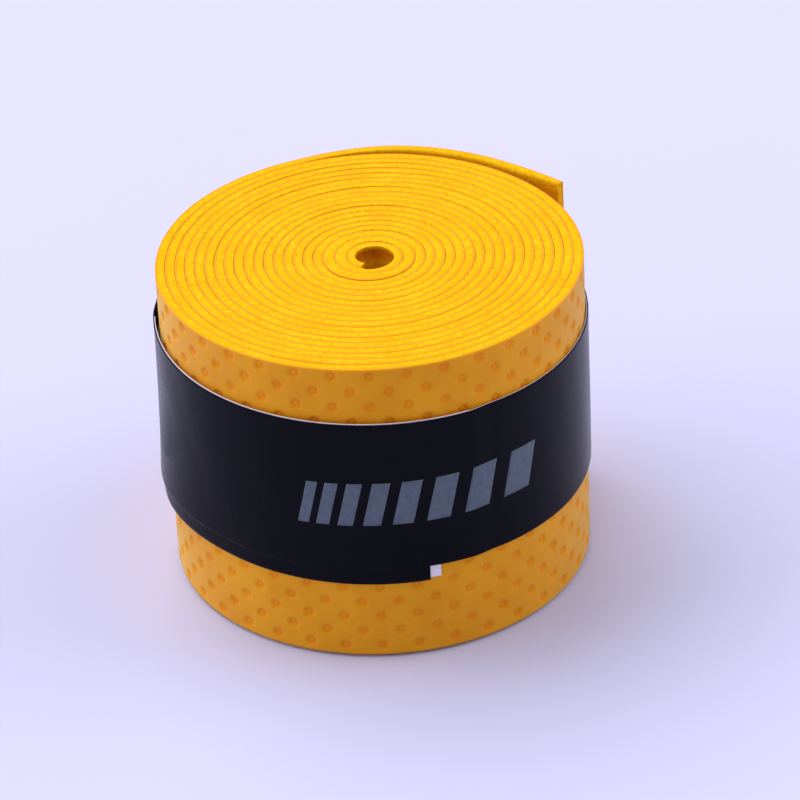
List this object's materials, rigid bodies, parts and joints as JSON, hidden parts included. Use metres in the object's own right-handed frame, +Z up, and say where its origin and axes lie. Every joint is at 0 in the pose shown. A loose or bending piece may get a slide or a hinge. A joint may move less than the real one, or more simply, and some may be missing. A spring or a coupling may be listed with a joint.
{
  "type": "grip tape roll",
  "caption": "Spiral roll of dimpled racket overgrip tape with a free tail, held by a wrapped glossy band that slides off and peels.",
  "frame": {"origin": "on the axis of the spiral, at the level of the base that the roll stands on", "axes": "+Z up along the roll's axis; -Y is the front, where the band's inner end shows; the tape's free end points to +X at the back right"},
  "size_m": [0.0322, 0.0331, 0.025],
  "materials": {
    "tape_base": "matte",
    "tape_skin": "satin",
    "starter_adhesive": "gloss",
    "starter_liner": "satin",
    "band_film": "gloss",
    "band_liner": "satin"
  },
  "bodies": {
    "roll": {"tape_base": "tape_base", "tape_skin": "tape_skin", "starter_adhesive": "starter_adhesive", "starter_liner": "starter_liner"},
    "tail": {"tail_base": "tape_base", "tail_skin": "tape_skin"},
    "band": {"band_film": "band_film", "band_liner": "band_liner"},
    "band_flap": {"band_end": "band_film"}
  },
  "joints": [
    {"name": "tail_press", "type": "hinge", "parent": "roll", "child": "tail", "pos_m": [0.00215, 0.01633, 0.0125], "axis": [0, 0, -1], "range_deg": [0, 4.3], "stiffness_Nm_per_rad": 0.002},
    {"name": "band_slide", "type": "slide", "parent": "roll", "child": "band", "axis": [0, 0, 1], "range_m": [-0.0062, 0.0215]},
    {"name": "band_end_peel", "type": "hinge", "parent": "band", "child": "band_flap", "pos_m": [-0.01635, 0, 0.0125], "axis": [0, 0, 1], "range_deg": [0, 105]}
  ]
}
